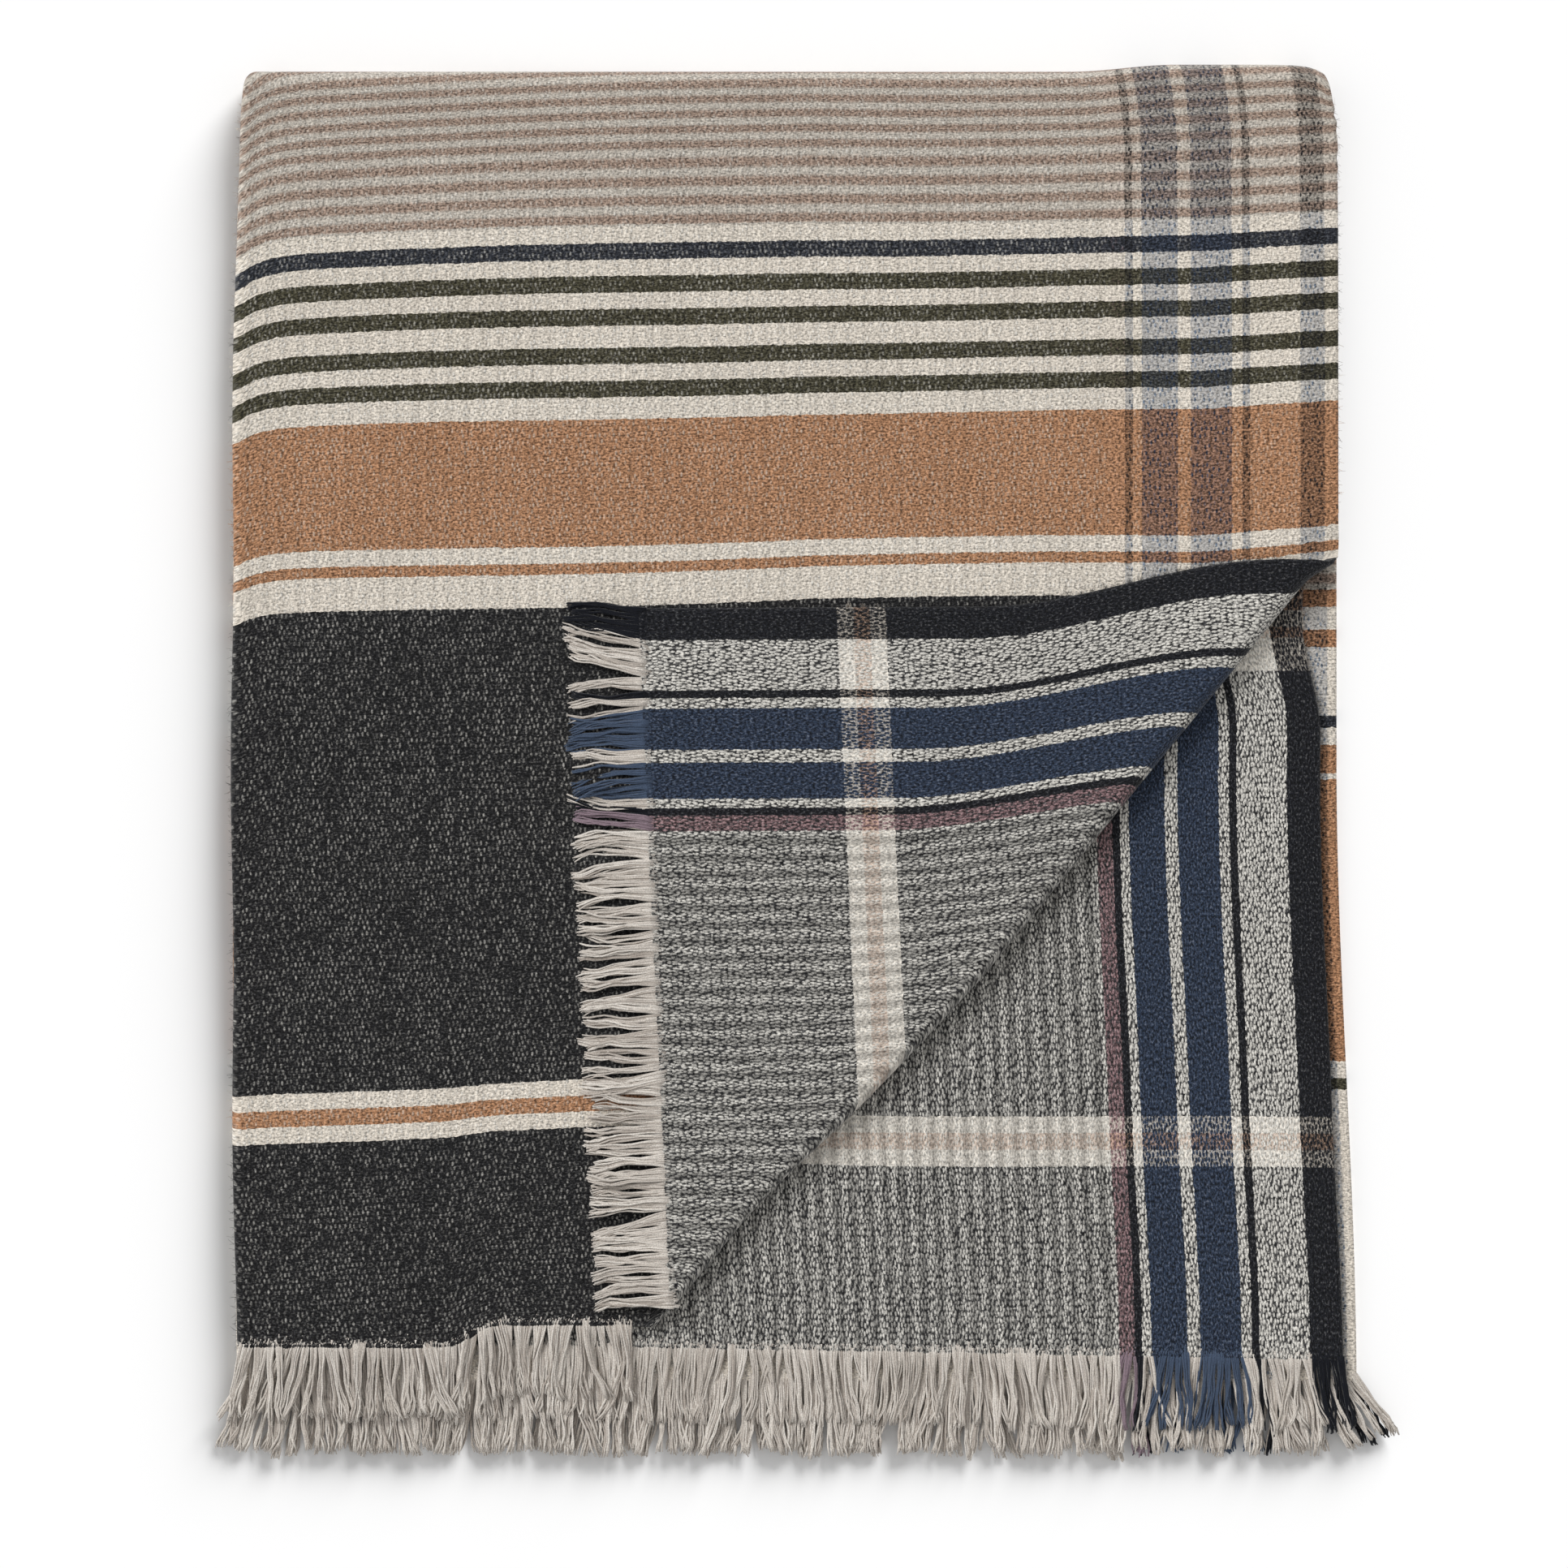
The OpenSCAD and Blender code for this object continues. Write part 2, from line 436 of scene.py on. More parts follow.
def cloth_mesh(name, mid, normal, half, place):
    """A closed sheet round a grid of its mid-surface: face B on the normal's side, face A on the other."""
    rows, cols = mid.shape[:2]
    over = settle(mid + normal * half[..., None]).reshape(-1, 3)
    under = settle(mid - normal * half[..., None]).reshape(-1, 3)
    index = np.arange(rows * cols).reshape(rows, cols)
    pairs = np.stack([index[:, :-1], index[:, 1:]], axis=-1)
    quads = grid_faces(pairs[:-1], pairs[1:])
    middle = quads[len(quads) // 2]
    facing = np.cross(over[middle[1]] - over[middle[0]], over[middle[3]] - over[middle[0]])
    if facing @ normal.reshape(-1, 3)[middle[0]] < 0:
        quads = quads[:, ::-1]
    shift = rows * cols
    rim = np.concatenate([index[0, :], index[1:, -1], index[-1, -2::-1], index[-2:0:-1, 0]])
    rim_next = np.roll(rim, -1)
    walls = np.stack([rim, rim + shift, rim_next + shift, rim_next], axis=-1)
    which = np.repeat([0, 1, 0], [len(quads), len(quads), len(walls)])
    faces = np.concatenate([quads, quads[:, ::-1] + shift, walls]).tolist()
    piece = add_piece(name, np.stack([over, under]), faces, np.stack([place, place]), [FACE_B, FACE_A], which)
    close_up(piece.data)
    return piece


def tubes(name, paths, radii, place, materials, which, sides):
    """Yarns as closed tubes. paths is yarns x points x 3; radii and place have a row for each yarn too.

    which says which of the materials each yarn has.
    """
    count, points = paths.shape[:2]
    tangent = np.gradient(paths, axis=1)
    tangent /= np.linalg.norm(tangent, axis=-1, keepdims=True)
    side = np.cross(tangent, UP)
    side /= np.linalg.norm(side, axis=-1, keepdims=True)
    over = np.cross(side, tangent)
    angle = (np.arange(sides) * 2 * math.pi / sides)[:, None]
    ring = side[:, :, None] * np.cos(angle) + over[:, :, None] * np.sin(angle)
    verts = paths[:, :, None] + ring * radii[:, :, None, None]
    index = np.arange(count * points * sides).reshape(count, points, sides)
    pairs = np.stack([index, np.roll(index, -1, axis=2)], axis=-1)
    quads = grid_faces(pairs[:, :-1], pairs[:, 1:])
    caps = np.concatenate([index[:, 0, ::-1], index[:, -1, :]])
    which = np.concatenate([np.repeat(which, sides * (points - 1)), which, which])
    spread = np.repeat(place.reshape(-1, 2), sides, axis=0)
    return add_piece(name, verts, quads.tolist() + caps.tolist(), spread, materials, which)


# -------- materials

def srgb(red, green, blue):
    """A colour given as a screen shows it, as the linear numbers that a shader takes."""
    def linear(value):
        value = value / 255
        return value / 12.92 if value <= 0.04045 else ((value + 0.055) / 1.055) ** 2.4
    return (linear(red), linear(green), linear(blue), 1.0)


CREAM = srgb(219, 210, 197)
TAN = srgb(166, 122, 90)
CHARCOAL = srgb(29, 29, 31)
OLIVE = srgb(66, 63, 48)
INK = srgb(44, 47, 54)
TAUPE_LIGHT = srgb(193, 185, 174)
TAUPE_DARK = srgb(154, 133, 119)
GREY_LIGHT = srgb(196, 193, 186)
NAVY = srgb(38, 49, 67)
BLACK = srgb(16, 18, 24)
MAUVE = srgb(122, 98, 100)
SLATE = srgb(50, 50, 52)
PALE_BLUE = srgb(130, 148, 170)

# Weft bands of the upper half from the top fold to the fringe, as colour and width in millimetres.
UPPER_BANDS = [
    (TAUPE_LIGHT, 86.4), (CREAM, 10.3), (INK, 7), (CREAM, 10.3), (OLIVE, 8.6), (CREAM, 10.7), (OLIVE, 9.4),
    (CREAM, 10.7), (OLIVE, 9.8), (CREAM, 11), (OLIVE, 9.8), (CREAM, 12), (TAN, 72), (CREAM, 8.4), (TAN, 7.5),
    (CREAM, 16.8), (CHARCOAL, 272), (CREAM, 10.7), (TAN, 8.9), (CREAM, 10.3), (CHARCOAL, 200),
]
# The same for the lower half.
LOWER_BANDS = [
    (TAUPE_LIGHT, 293), (TAN, 11), (CREAM, 13), (TAN, 11), (CREAM, 40), (INK, 6), (CREAM, 8), (TAN, 17),
    (CREAM, 6), (TAN, 160), (CREAM, 10), (OLIVE, 8), (CREAM, 260),
]
# Warp stripes from the selvage inwards, as colour, width in millimetres and how fully they cover the weft.
WARP_STRIPES = [
    (BLACK, 18.5, 0.95), (GREY_LIGHT, 29, 0.62), (BLACK, 4, 0.95), (GREY_LIGHT, 6, 0.7),
    (NAVY, 24, 0.9), (GREY_LIGHT, 7, 0.7), (NAVY, 21, 0.9), (GREY_LIGHT, 5.5, 0.7), (BLACK, 4, 0.95),
    (MAUVE, 9, 0.72), (GREY_LIGHT, 60, 0.5),
]
# Widths and places in millimetres, like those above.
STRIPES_W = 190.0
UPPER_BANDS_W = 800.0
LOWER_BANDS_W = 850.0
PLAIN_FROM = 128.5
TAUPE_END = UPPER_BANDS[0][1]
LOWER_TAUPE_END = LOWER_BANDS[0][1]
TAUPE_RIB = 10.65
WARP_RIB = 9.6
# Width along the selvage where face B hides its black warp.
PLAIN_EDGE = 4.5
# How far the yarns wander out of their straight lines.
WANDER = 2.2


class Graph:
    """Builds a node material, one call for each node."""

    def __init__(self, name):
        self.material = bpy.data.materials.new(name)
        self.material.use_nodes = True
        self.tree = self.material.node_tree
        self.tree.nodes.clear()

    def node(self, kind, inputs=(), **settings):
        made = self.tree.nodes.new(kind)
        for key, value in settings.items():
            setattr(made, key, value)
        for key, value in dict(inputs).items():
            self.put(made.inputs[key], value)
        return made

    def put(self, socket, value):
        if isinstance(value, bpy.types.NodeSocket):
            self.tree.links.new(value, socket)
        else:
            socket.default_value = value

    def math(self, operation, first, second=0.0, third=0.0, clamp=False):
        made = self.node("ShaderNodeMath", operation=operation, use_clamp=clamp)
        for socket, value in zip(made.inputs, (first, second, third)):
            self.put(socket, value)
        return made.outputs[0]

    def times(self, first, second, clamp=False):
        return self.math("MULTIPLY", first, second, clamp=clamp)

    def line(self, value, slope, start):
        """The slope times the value, plus the start."""
        return self.math("MULTIPLY_ADD", value, slope, start)

    def between(self, value, low, high):
        """0 below low, 1 above high, smooth between them."""
        made = self.node("ShaderNodeMapRange", {"Value": value, "From Min": low, "From Max": high},
                         interpolation_type="SMOOTHSTEP")
        return made.outputs["Result"]

    def mix(self, share, first, second, blend="MIX"):
        made = self.node("ShaderNodeMix", data_type="RGBA", blend_type=blend)
        self.put(made.inputs["Factor"], share)
        self.put(made.inputs[6], first)
        self.put(made.inputs[7], second)
        return made.outputs[2]

    def parts(self, vector):
        return self.node("ShaderNodeSeparateXYZ", {"Vector": vector}).outputs

    def join(self, x, y, z=0.0):
        made = self.node("ShaderNodeCombineXYZ", {"X": x, "Y": y, "Z": z})
        return made.outputs[0]

    def dim(self, colour, light):
        """The colour times a plain light."""
        return self.mix(1.0, colour, self.join(light, light, light), "MULTIPLY")

    def brightness(self, colour):
        return self.node("ShaderNodeRGBToBW", {"Color": colour}).outputs["Val"]

    def stretched_noise(self, u, v, along, across, roughness):
        """Noise of about 1 mm, finer where along and across are greater."""
        place = self.join(self.times(u, along), self.times(v, across))
        return self.noise(place, 1.0, roughness=roughness)

    def matt(self, colour, roughness, normal, sheen, sheen_roughness):
        """Ends the material in a woollen surface, and gives it."""
        shader = self.node("ShaderNodeBsdfPrincipled", {
            "Base Color": colour, "Roughness": roughness, "Normal": normal, "Sheen Weight": sheen,
            "Sheen Roughness": sheen_roughness, "Specular IOR Level": 0.15})
        self.node("ShaderNodeOutputMaterial", {"Surface": shader.outputs["BSDF"]})
        return self.material

    def bump(self, height, strength, distance):
        made = self.node("ShaderNodeBump", {"Strength": strength, "Distance": distance, "Height": height})
        return made.outputs["Normal"]

    def noise(self, vector, scale, detail=2.0, roughness=0.5):
        made = self.node("ShaderNodeTexNoise", {"Vector": vector, "Scale": scale, "Detail": detail,
                                                "Roughness": roughness})
        return made.outputs["Fac"]

    def dashes(self, u, v, step, size, spread):
        """Short dashes along the warp on the twill's slanting rows: their shape and a chance for each."""
        row = self.math("DIVIDE", v, step[1])
        column = self.line(row, 0.5, self.math("DIVIDE", u, step[0]))
        place = self.join(column, row)
        cell = self.node("ShaderNodeTexVoronoi", {"Vector": place, "Scale": 1.0, "Randomness": spread})
        offset = self.node("ShaderNodeVectorMath", {0: cell.outputs["Position"], 1: place},
                           operation="SUBTRACT")
        parts = self.parts(offset.outputs["Vector"])
        across = self.times(self.line(parts["Y"], -0.5, parts["X"]), step[0] / size[0])
        along = self.times(parts["Y"], step[1] / size[1])
        distance = self.node("ShaderNodeVectorMath", {0: self.join(across, along)}, operation="LENGTH")
        shape = self.math("SUBTRACT", 1.0, self.between(distance.outputs["Value"], 0.6, 1.5))
        return shape, self.parts(cell.outputs["Color"])["X"]

    def bands(self, position, bands, total):
        """The colour of a list of bands at a position, both in millimetres."""
        share = self.math("DIVIDE", position, total)
        made = self.node("ShaderNodeValToRGB", {"Fac": share})
        ramp = made.color_ramp
        ramp.interpolation = "CONSTANT"
        edge = 0.0
        for number, (colour, width) in enumerate(bands):
            stop = ramp.elements[0] if number == 0 else ramp.elements.new(min(edge / total, 1.0))
            stop.color = colour
            edge += width
        ramp.elements.remove(ramp.elements[len(bands)])
        return made.outputs["Color"]

    def wave(self, position, period, phase):
        """A smooth wave between 0 and 1, which is 1 where the position is at the phase."""
        turns = self.times(self.math("SUBTRACT", position, phase), 2 * math.pi / period)
        return self.line(self.math("COSINE", turns), 0.5, 0.5)


def cloth_coordinates(graph):
    """The place in the cloth in millimetres, with the small wander of the yarns."""
    uv = graph.node("ShaderNodeUVMap", uv_map="cloth").outputs["UV"]
    parts = graph.parts(uv)
    u = graph.times(parts["X"], 1 / MM)
    v = graph.times(parts["Y"], 1 / MM)
    place = graph.join(u, v)
    wander = graph.node("ShaderNodeTexNoise", {"Vector": place, "Scale": 0.35, "Detail": 3.0})
    shift = graph.parts(wander.outputs["Color"])
    soft_u = graph.line(graph.math("SUBTRACT", shift["X"], 0.5), WANDER, u)
    soft_v = graph.line(graph.math("SUBTRACT", shift["Y"], 0.5), WANDER, v)
    return u, v, soft_u, soft_v, place


def weft_colour(graph, v):
    """The bands that the weft makes, different on the two halves of the web."""
    upper = graph.bands(v, UPPER_BANDS, UPPER_BANDS_W)
    lower = graph.bands(graph.times(v, -1.0), LOWER_BANDS, LOWER_BANDS_W)
    weft = graph.mix(graph.math("LESS_THAN", v, 0.0), upper, lower)
    below = graph.math("LESS_THAN", v, TAUPE_END)
    taupe = graph.times(below, graph.math("GREATER_THAN", v, -LOWER_TAUPE_END))
    rib = graph.between(graph.wave(v, TAUPE_RIB, TAUPE_END - TAUPE_RIB / 4), 0.05, 0.85)
    return graph.mix(graph.times(taupe, rib), weft, TAUPE_DARK)


def stripes(graph, u):
    """The warp's colour at a distance from the selvage, and how fully it covers the weft on its own face."""
    colour = graph.bands(u, [(colour, width) for colour, width, cover in WARP_STRIPES], STRIPES_W)
    covers = [((cover, cover, cover, 1), width) for colour, width, cover in WARP_STRIPES]
    return colour, graph.brightness(graph.bands(u, covers, STRIPES_W))


def banded_face(graph, u, v, soft_u, weft, warp, dyed, rib, cloud):
    """Face B, where the weft covers the warp. Gives both colours, the warp's share and the dashes' shape."""
    dyed = graph.times(dyed, graph.between(soft_u, PLAIN_EDGE - 0.5, PLAIN_EDGE + 0.5))
    shape, chance = graph.dashes(u, v, (2.7, 3.3), (0.6, 1.2), 0.5)
    lively = graph.between(graph.math("ADD", chance, graph.times(cloud, 0.6)), 0.3, 1.3)
    share = graph.line(graph.times(shape, lively), graph.line(dyed, 0.1, 0.7), graph.times(dyed, 0.62))
    share = graph.times(share, graph.line(rib, 0.6, 0.7))
    # Undyed warp only lightens the weft, and dyed warp turns blue under pale bands.
    lit = graph.mix(1.0, weft, weft, "SCREEN")
    warp = graph.mix(graph.line(dyed, -0.5, 0.5), warp, lit)
    bright = graph.times(dyed, graph.between(graph.brightness(weft), 0.5, 0.62))
    warp = graph.mix(graph.times(bright, 0.5), warp, PALE_BLUE)
    return weft, warp, share, shape


def striped_face(graph, u, v, weft, warp, cover, dyed, rib):
    """Face A, where the warp covers the weft, and pale bands show through as panes. Gives the same."""
    pane = graph.between(graph.brightness(weft), 0.1, 0.2)
    shape, chance = graph.dashes(u, v, (1.95, 3.2), (0.6, 1.45), 0.7)
    lively = graph.line(shape, 0.9, graph.line(chance, 0.3, -0.08))
    lively = graph.times(lively, graph.line(rib, -0.3, 1.1))
    loose = graph.times(lively, graph.times(cover, 1.75))
    loose = graph.math("MAXIMUM", loose, graph.times(pane, 0.5))
    # Dyed warp covers nearly all of the weft, and less of it in a pane.
    full = graph.line(lively, 0.3, 0.75)
    yields = graph.line(graph.between(cover, 0.9, 0.95), 0.35, -0.5)
    tied = graph.times(dyed, graph.line(pane, yields, 1.0))
    share = graph.node("ShaderNodeMix", {"Factor": tied, "A": loose, "B": full}).outputs["Result"]
    faded = graph.line(pane, -0.35, 0.6)
    weft = graph.mix(faded, weft, graph.mix(pane, SLATE, CREAM))
    return weft, warp, share, shape


def wool(name, face_b):
    """Brushed double-faced wool: its colour in the weave, then the light and dark of its fibres."""
    graph = Graph(name)
    u, v, soft_u, soft_v, place = cloth_coordinates(graph)
    weft = weft_colour(graph, soft_v)
    warp, cover = stripes(graph, soft_u)
    dyed = graph.between(cover, 0.7, 0.9)
    plain = graph.between(u, PLAIN_FROM - 2, PLAIN_FROM + 2)
    rib = graph.times(plain, graph.wave(soft_u, WARP_RIB, 0.0))
    fibre = graph.stretched_noise(u, v, 1.6, 0.9, 0.7)
    cloud = graph.noise(place, 0.02, 3.0, 0.6)
    if face_b:
        weft, warp, share, shape = banded_face(graph, u, v, soft_u, weft, warp, dyed, rib, cloud)
        grain = graph.stretched_noise(u, v, 0.55, 0.9, 0.65)
        rib_shade = 0.14
    else:
        weft, warp, share, shape = striped_face(graph, u, v, weft, warp, cover, dyed, rib)
        grain = graph.stretched_noise(u, v, 0.9, 0.5, 0.65)
        rib_shade = 0.5
    share = graph.times(share, graph.line(fibre, 1.6, 0.2), clamp=True)
    colour = graph.mix(share, weft, warp)
    # Fibres stand out more on dark yarn.
    depth = graph.line(graph.between(graph.brightness(colour), 0.02, 0.45), -4.2, 7.5)
    light = graph.line(graph.math("SUBTRACT", grain, 0.5), depth, 1.0)
    light = graph.math("MAXIMUM", light, 0.25)
    light = graph.times(light, graph.line(cloud, 0.22, 0.89))
    light = graph.times(light, graph.line(rib, -rib_shade, 1.0 + rib_shade / 2))
    fine = graph.times(graph.between(fibre, 0.5, 0.8), 0.07)
    lint = graph.line(graph.between(grain, 0.54, 0.76), 0.2, fine)
    colour = graph.mix(lint, graph.dim(colour, light), GREY_LIGHT)
    height = graph.line(shape, 0.5, grain)
    rough = graph.line(grain, 0.12, 0.84)
    return graph.matt(colour, rough, graph.bump(height, 0.6, 1 * MM), 0.22, 0.45)


def fringe_yarn(name):
    """The warp's own yarn: its colour by the place across the web, in fine twisted strands."""
    graph = Graph(name)
    u = cloth_coordinates(graph)[0]
    colour, cover = stripes(graph, u)
    each = graph.noise(graph.join(graph.times(u, 3.0), 0.0), 1.0, 1.0)
    pale = graph.mix(graph.between(each, 0.35, 0.65), srgb(238, 231, 222), srgb(186, 176, 166))
    worn = graph.line(graph.between(cover, 0.9, 0.95), -0.14, 0.14)
    dyed = graph.mix(1.0, graph.mix(worn, colour, PALE_BLUE), (1.45, 1.45, 1.5, 1), "MULTIPLY")
    colour = graph.mix(graph.between(cover, 0.7, 0.72), pale, dyed)
    solid = graph.node("ShaderNodeTexCoord").outputs["Object"]
    strands = graph.noise(solid, 1500.0, 3.0, 0.7)
    light = graph.line(strands, 1.7, 0.12)
    return graph.matt(graph.dim(colour, light), 0.85, graph.bump(strands, 0.7, 0.5 * MM), 0.3, 0.4)


FACE_B = wool("wool_banded_face", True)
FACE_A = wool("wool_striped_face", False)
YARN = fringe_yarn("fringe_yarn")


# -------- the web's pieces

def upper_web(s, w):
    return web(s, w, UPPER_END, top_end_shift, inner_end_shift)


def lower_web(s, w):
    return web(s, w, LOWER_END, straight_end, straight_end)


def w_at(y):
    return Y_FOLD - y + ROLL_ARC


UPPER_ROWS = spaced(W_JOIN, w_at(UPPER_END), CELL)
LOWER_ROWS = spaced(W_JOIN, w_at(LOWER_END), CELL)


def turn_steps(arc, join, flat_steps, turn_count):
    """Distances through a turn of the web and its flat margins, from -join to join."""
    margin = np.linspace(arc, join, flat_steps)[1:]
    return np.concatenate([-margin[::-1], np.linspace(-arc, arc, turn_count), margin])


def flat_panel(name, rows, outer, lower):
    """One layer between its side fold, its selvage, the top fold and the fringe."""
    sign = 1 if outer else -1
    y = Y_FOLD - (rows - ROLL_ARC)
    edge = selvage(y, lower) if lower or outer else inner_selvage(y)
    grid_x = spaced_rows(X_FOLD + SIDE_MARGIN + 0 * edge, edge, COLUMNS)
    w = np.repeat(rows[:, None], grid_x.shape[1], axis=1)
    s = sign * (grid_x - X_FOLD + SIDE_ARC)
    mid, normal = (lower_web if lower else upper_web)(s, -w if lower else w)
    half = np.minimum(edge_half(edge[:, None] - grid_x), edge_half(rows[-1] - w))
    place = (outer_place if outer else inner_place)(mid, -w if lower else w, lower)
    return cloth_mesh(name, mid, normal, half, place)


def side_fold(name, rows, lower):
    """The web round its side fold, with a flat margin on each side."""
    w, s = np.meshgrid(rows, turn_steps(SIDE_ARC, S_JOIN, 5, 17), indexing="ij")
    signed = -w if lower else w
    mid, normal = (lower_web if lower else upper_web)(s, signed)
    half = edge_half(rows[-1] - w)
    return cloth_mesh(name, mid, normal, half, web_place(mid, s, signed))


def top_fold(name):
    """The web over the top fold, across its whole width: inner turn, side fold and outer turn."""
    w = turn_steps(ROLL_ARC, W_JOIN, 4, 33)
    turn = np.clip(w / ROLL_R, -math.pi / 2, math.pi / 2)
    y = Y_FOLD + ROLL_R * np.cos(turn) - np.maximum(np.abs(w) - ROLL_ARC, 0)
    flat = spaced_rows(X_FOLD + SIDE_MARGIN + 0 * y, selvage(y, False), COLUMNS)
    outer = flat - X_FOLD + SIDE_ARC
    bend = turn_steps(SIDE_ARC, S_JOIN, 5, 17)[1:-1]
    s = np.concatenate([-outer[:, ::-1], np.repeat(bend[None], len(w), axis=0), outer], axis=1)
    w = np.repeat(w[:, None], s.shape[1], axis=1)
    halves = zip(upper_web(s, w), lower_web(s, w))
    mid, normal = (np.where((w > 0)[..., None], upper, lower) for upper, lower in halves)
    half = edge_half(outer[:, -1:] - np.abs(s))
    return cloth_mesh(name, mid, normal, half, web_place(mid, s, w))


def top_panel(name, rows):
    """The top layer without its turned-back corner, cut along the crease's flat margin."""
    share = (rows - rows[0]) / (rows[-1] - rows[0])
    straight = Y_FOLD - (rows - ROLL_ARC)
    y = straight + top_end_shift(0.0, share)
    tip_y = SCAN_EDGE[np.argmax(SCAN_A >= A_HIGH), 1]
    edge = np.where(y > tip_y, selvage(straight, False),
                    from_crease(crease_place(y), crease_middle(crease_place(y)) + CREASE_MARGIN)[..., 0])
    grid_x = spaced_rows(X_FOLD + SIDE_MARGIN + 0 * edge, edge, COLUMNS)
    w = np.repeat(rows[:, None], grid_x.shape[1], axis=1)
    mid, normal = upper_web(grid_x - X_FOLD + SIDE_ARC, w)
    by_selvage = np.where((y > tip_y)[:, None], edge_half(edge[:, None] - grid_x), CLOTH / 2)
    half = np.minimum(by_selvage, edge_half(rows[-1] - w))
    piece = cloth_mesh(name, mid, normal, half, outer_place(mid, w, False))
    seam = y <= tip_y
    return piece, crease_place(y[seam]), half[seam, -1]


def corner_height(beyond):
    """Height of the turned-back cloth's middle, at a distance beyond the crease's turn."""
    lift = 2 * CREASE_R - PITCH
    return FLAP_MID_Z + lift * hump(beyond, 0, CREASE_LIFT_REACH)


def crease(name, seam_a, seam_half):
    """The turn of the turned-back corner, from the top layer's cut line round to the corner's."""
    arc = CREASE_R * math.pi / 2
    # Rows near the two ends lean, so that they run along the fringe and the selvage.
    low, high = seam_a.min(), seam_a.max()
    lean = CREASE_OUT[1] / CREASE_ALONG[1] * smooth(1 - (seam_a - low) / LEAN_REACH)
    lean = lean + CREASE_OUT[0] / CREASE_ALONG[0] * smooth(1 - (high - seam_a) / LEAN_REACH)
    nose_a = seam_a + lean * (CREASE_R + CREASE_MARGIN)
    # Where the corner has less cloth than the crease needs, the turn stops sooner.
    limit = np.clip(corner_edge(nose_a) - crease_middle(nose_a), -CREASE_R, CREASE_MARGIN)
    beside = np.pad(limit, 1, mode="edge")
    limit = np.where(np.maximum(beside[:-2], beside[2:]) >= CREASE_MARGIN, CREASE_MARGIN, limit)
    stop = np.where(limit > 0, arc + limit, CREASE_R * np.arcsin(np.clip(1 + limit / CREASE_R, 0, 1)))
    # q runs along the web: below 0 under the nose, above 0 over it.
    share = np.linspace(0, 1, 14)
    under = np.concatenate([np.linspace(-arc - CREASE_MARGIN, -arc, 5)[:-1], np.linspace(-arc, 0, 10)[:-1]])
    q = np.concatenate([np.repeat(under[None], len(seam_a), axis=0), stop[:, None] * share[None]], axis=1)
    theta = np.clip(q / CREASE_R, -math.pi / 2, math.pi / 2)
    flat = np.maximum(np.abs(q) - arc, 0)
    out = -CREASE_R * np.cos(theta) + flat
    a = np.where(q < 0, seam_a[:, None] + lean[:, None] * (CREASE_MARGIN - out), nose_a[:, None])
    b = crease_middle(a) + out
    z = np.where(q > arc, corner_height(flat), TOP_MID_Z + CREASE_R * (1 + np.sin(theta)))
    mid = raised(from_crease(a, b), z)
    normal = raised(np.cos(theta)[..., None] * CREASE_OUT, -np.sin(theta))
    short = (arc - np.minimum(np.abs(q), arc)) * (q >= 0)
    unrolled = from_crease(a, crease_middle(a) + flat * np.sign(q) - short)
    u, v = corner_cloth_place(unrolled)
    turned = np.stack([u, TOP_ROOT_V - v], axis=-1)
    lying = outer_place(mid, w_at(mid[..., 1]), False)
    place = lying + (turned - lying) * smooth(0.5 + q / (2 * arc))[..., None]
    end = np.minimum(seam_a - low, high - seam_a)
    half = np.minimum(edge_half(end * SLANT)[:, None], CLOTH / 2 + 0 * q)
    half[:, 0] = np.minimum(half[:, 0], seam_half)
    trimmed = (limit < CREASE_MARGIN - SAME_POINT)[:, None]
    half = np.where(trimmed, np.minimum(half, edge_half((stop[:, None] - q) * SLANT)), half)
    piece = cloth_mesh(name, mid, normal, half, place)
    return piece, nose_a[~trimmed[:, 0]]


def corner(name, seam_a):
    """The turned-back corner beyond its crease."""
    a = np.sort(np.append(seam_a, TIP_A))
    inner = crease_middle(a) + CREASE_MARGIN
    outer = np.maximum(corner_edge(a), inner + 0.01 * MM)
    b = spaced_rows(inner, outer, COLUMNS // 2)
    a = np.repeat(a[:, None], b.shape[1], axis=1)
    mid = raised(from_crease(a, b), corner_height(b - crease_middle(a)))
    normal = np.broadcast_to(-UP, mid.shape)
    half = edge_half((outer[:, None] - b) * SLANT)
    u, v = corner_cloth_place(mid)
    return cloth_mesh(name, mid, normal, half, np.stack([u, TOP_ROOT_V - v], axis=-1))


# -------- fringe

BUNDLE_PITCH = 8 * MM
LOCKS = 2
YARNS = 8
YARN_POINTS = 11
YARN_SIDES = 5
YARN_R = 0.48 * MM


